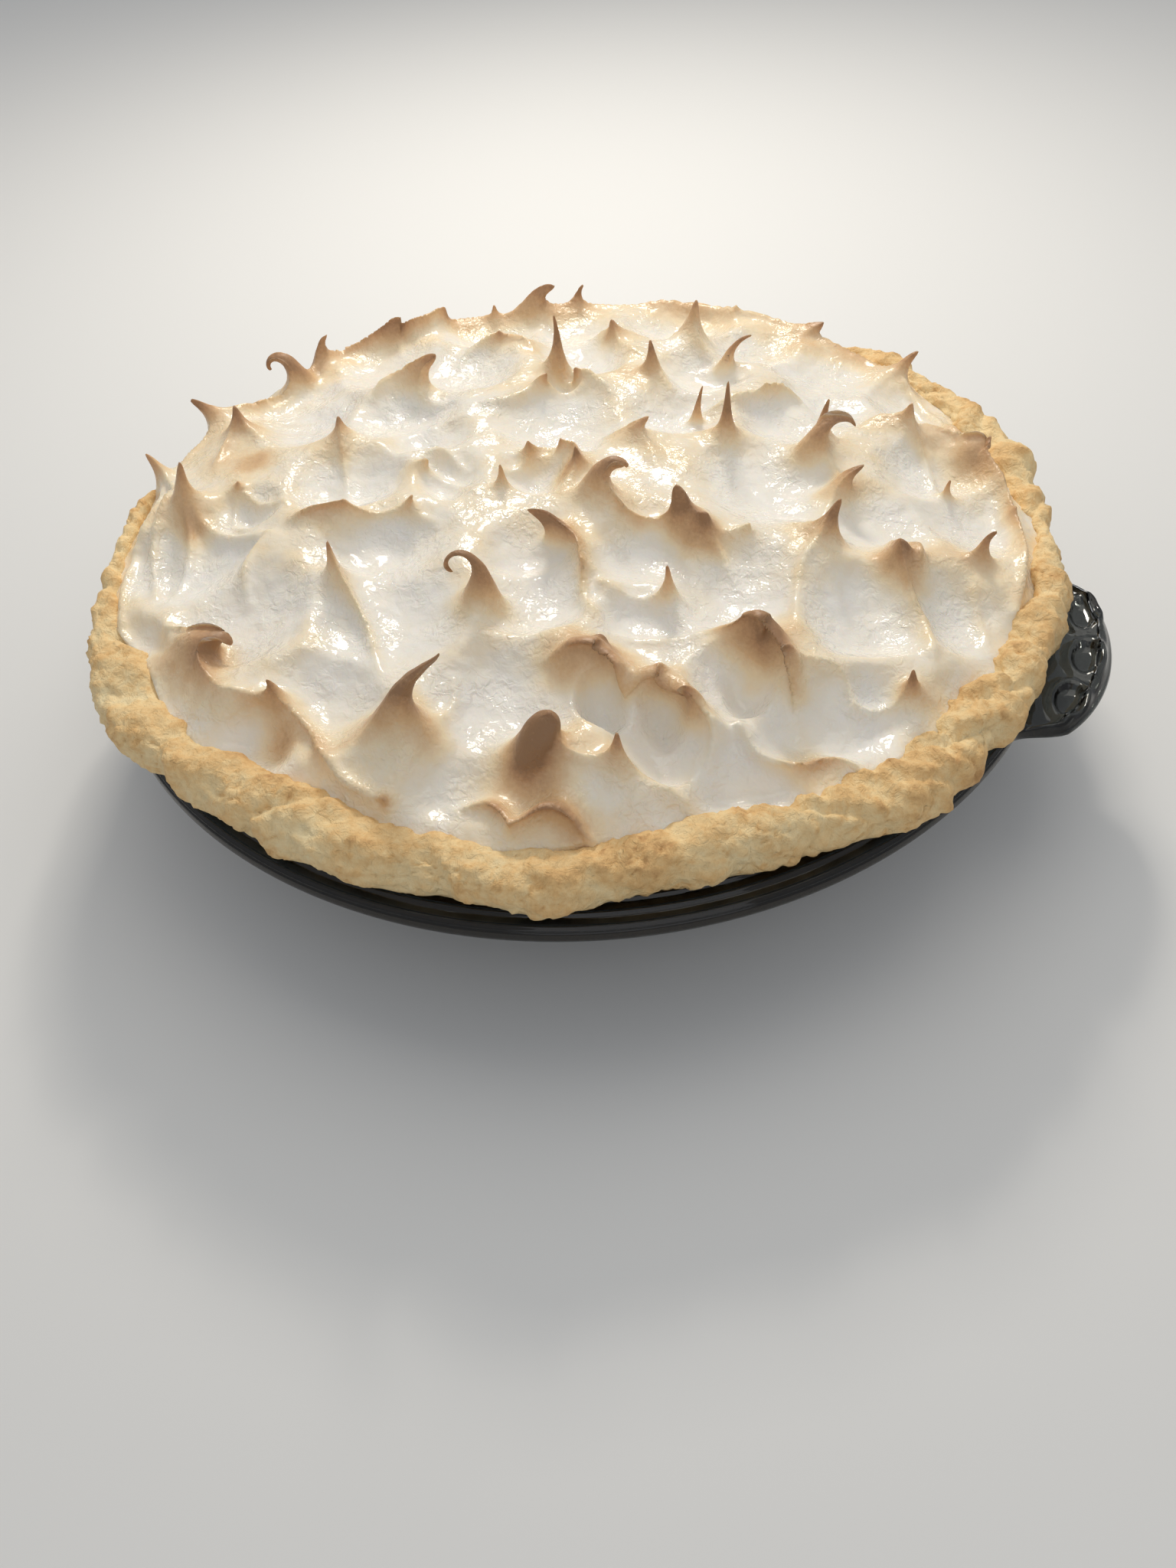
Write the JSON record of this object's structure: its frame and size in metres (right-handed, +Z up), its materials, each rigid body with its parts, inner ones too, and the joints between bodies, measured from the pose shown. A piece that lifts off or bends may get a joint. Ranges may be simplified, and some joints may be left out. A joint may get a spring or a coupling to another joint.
{
  "type": "lemon meringue pie",
  "caption": "Whole round lemon meringue pie with curled, browned meringue peaks and a rolled pastry rim, in its own dark glass pie dish with a tab handle.",
  "frame": {"origin": "middle of the flat underside of the dish, which the pie stands on", "axes": "+Z up through the middle of the pie, +X out along the handle of the dish"},
  "size_m": [0.276, 0.26, 0.0892],
  "materials": {
    "smoky_glass": null,
    "baked_pastry": "matt, flaky, light golden baked pastry with browner patches",
    "toasted_meringue": "glossy white meringue, cream on its slopes and toasted brown on its ridges and tips"
  },
  "bodies": {
    "root": {"pie_dish": "smoky_glass", "crust": "baked_pastry", "meringue": "toasted_meringue"}
  },
  "joints": []
}
